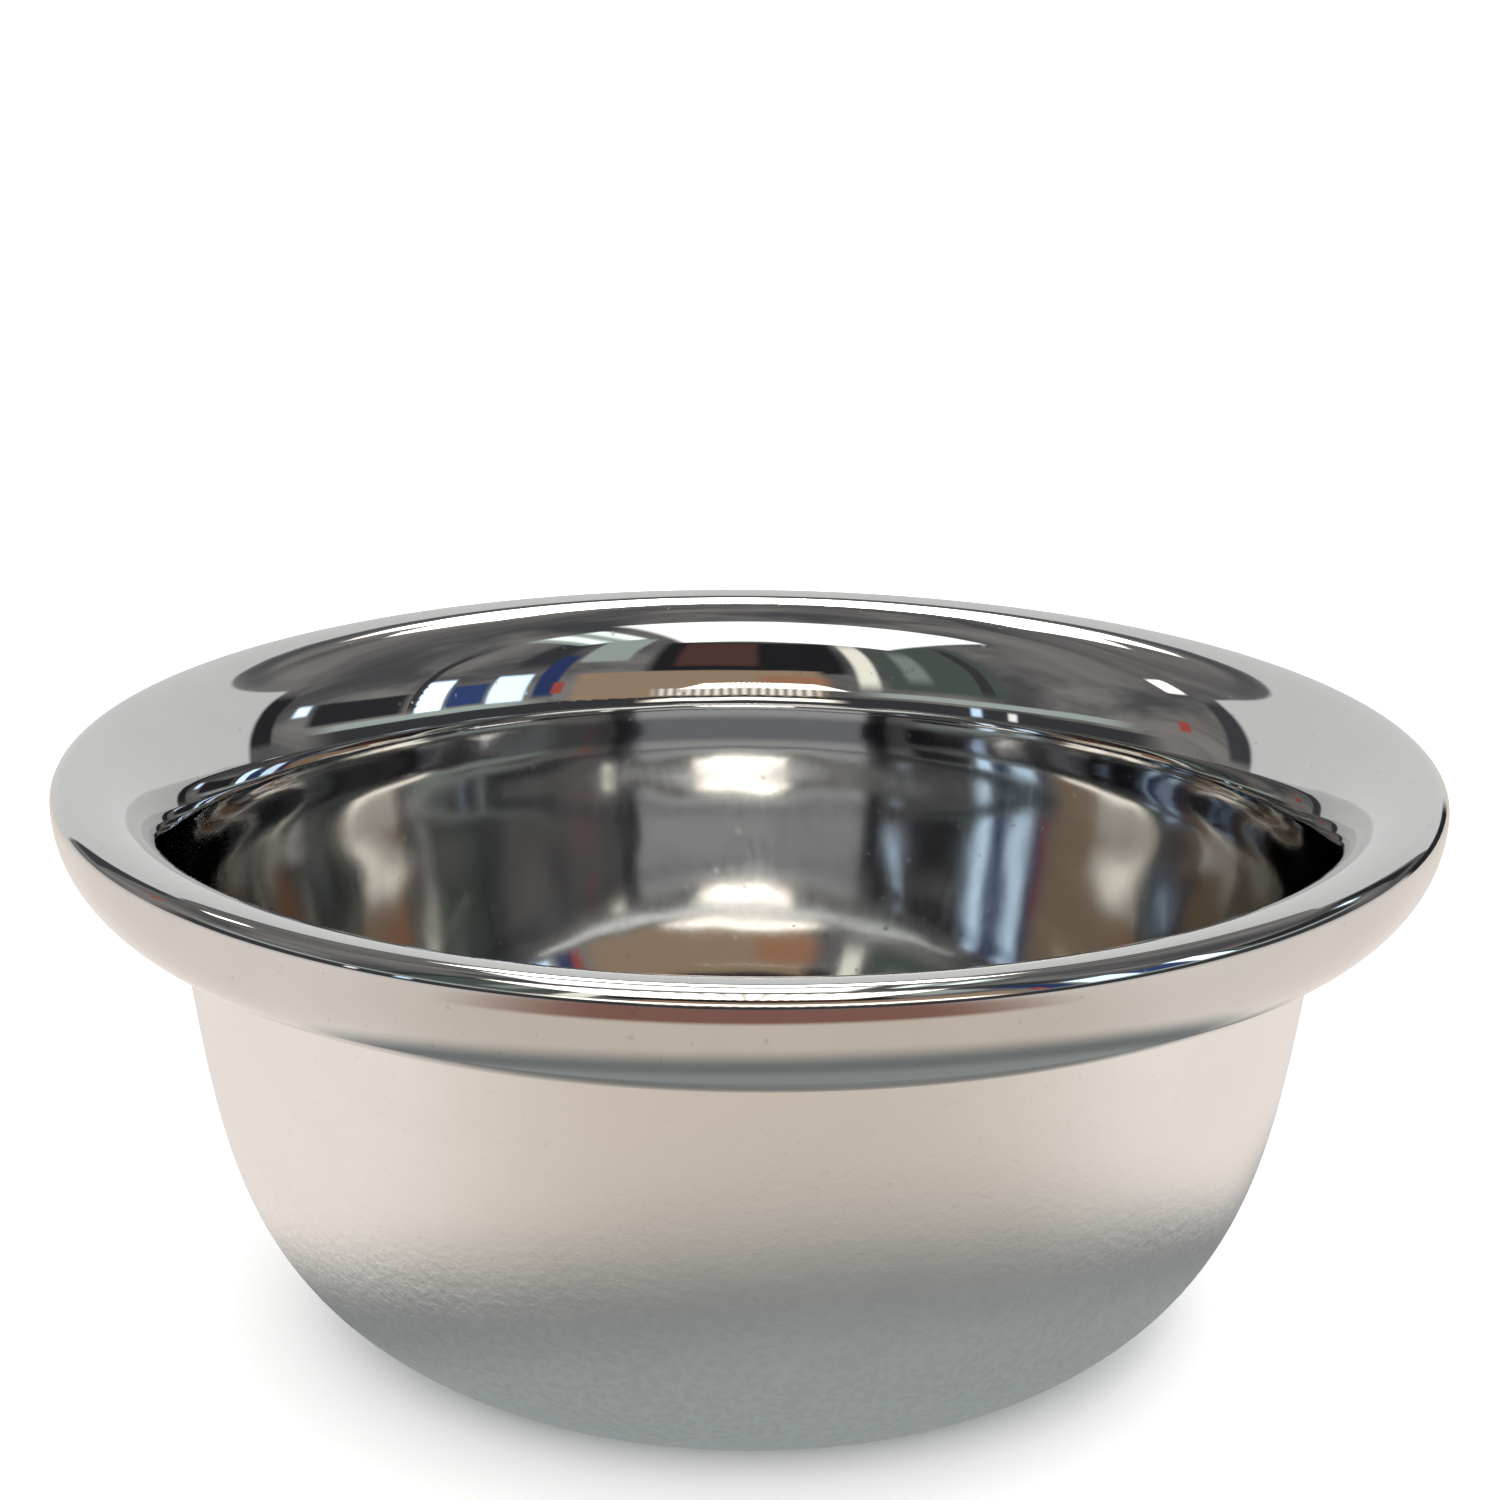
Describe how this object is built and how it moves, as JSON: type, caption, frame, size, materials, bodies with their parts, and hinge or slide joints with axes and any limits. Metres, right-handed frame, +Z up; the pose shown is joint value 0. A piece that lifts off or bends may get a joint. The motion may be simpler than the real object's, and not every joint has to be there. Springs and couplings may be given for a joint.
{
  "type": "shaving bowl",
  "caption": "Round double-walled steel bowl with a wide polished bell-mouth rim, rolled under at its edge, for working up shaving lather.",
  "frame": {"origin": "centre of the flat base, on the surface that the bowl stands on", "axes": "+Z up along the bowl's axis of revolution; X and Y are horizontal and interchangeable"},
  "size_m": [0.115, 0.115, 0.0476],
  "materials": {
    "mirror_steel": "mirror polished stainless steel, slightly softer inside the bowl",
    "satin_steel": "satin stainless steel with a fine pebbled grain"
  },
  "bodies": {
    "root": {"inner_bowl": "mirror_steel", "outer_shell": "satin_steel"}
  },
  "joints": []
}
